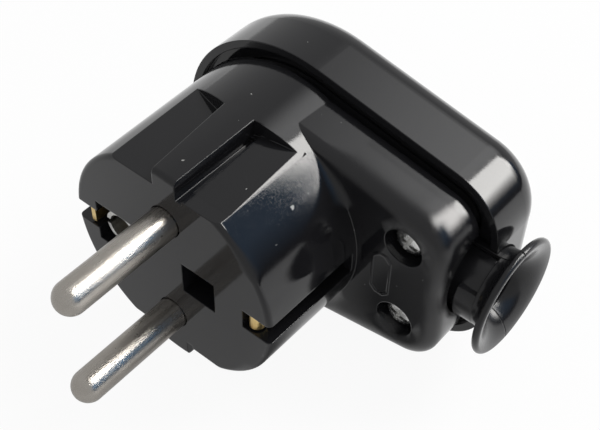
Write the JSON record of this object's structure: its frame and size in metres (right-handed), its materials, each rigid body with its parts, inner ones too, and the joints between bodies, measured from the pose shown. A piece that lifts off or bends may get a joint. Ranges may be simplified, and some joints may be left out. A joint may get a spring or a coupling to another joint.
{
  "type": "type f plug",
  "caption": "Angled rewirable mains plug with round pins, side earth contacts, earth socket, guide ribs, a screwed rear cover and a flared cord guard.",
  "frame": {"origin": "middle of the engagement face, between the two pins", "axes": "-Y out of the face along the pins, +X towards the cord, +Z along the line through the two pins"},
  "size_m": [0.0592, 0.057, 0.041],
  "materials": {
    "housing_black": "polished black moulding",
    "cover_black": "polished black moulding",
    "nickel_pin": "nickel plate on turned brass",
    "steel_screw": "zinc-plated steel",
    "insulating_plate": "pressed insulating plate",
    "brass_strip": "stamped brass strip",
    "nickel_sheet": "nickel-plated sheet",
    "brass_turned": "turned brass",
    "steel_plate": "zinc-plated sheet",
    "clamp_black": "moulded clamp bar",
    "guard_black": "satin black moulding"
  },
  "bodies": {
    "root": {"front_housing": "housing_black", "rear_cover": "cover_black", "upper_pin": "nickel_pin", "lower_pin": "nickel_pin", "upper_terminal_screw": "steel_screw", "lower_terminal_screw": "steel_screw", "contact_retainer": "insulating_plate", "retainer_screw": "steel_screw", "earth_strap": "brass_strip", "earth_socket": "nickel_sheet", "earth_rivet": "brass_turned", "earth_nut": "brass_turned", "earth_saddle": "steel_plate", "earth_terminal_screw": "steel_screw", "upper_cover_screw": "steel_screw", "lower_cover_screw": "steel_screw", "upper_cover_insert": "brass_turned", "lower_cover_insert": "brass_turned", "clamp_bar": "clamp_black", "upper_clamp_screw": "steel_screw", "lower_clamp_screw": "steel_screw", "guard_front_half": "guard_black", "guard_rear_half": "guard_black"}
  },
  "joints": []
}
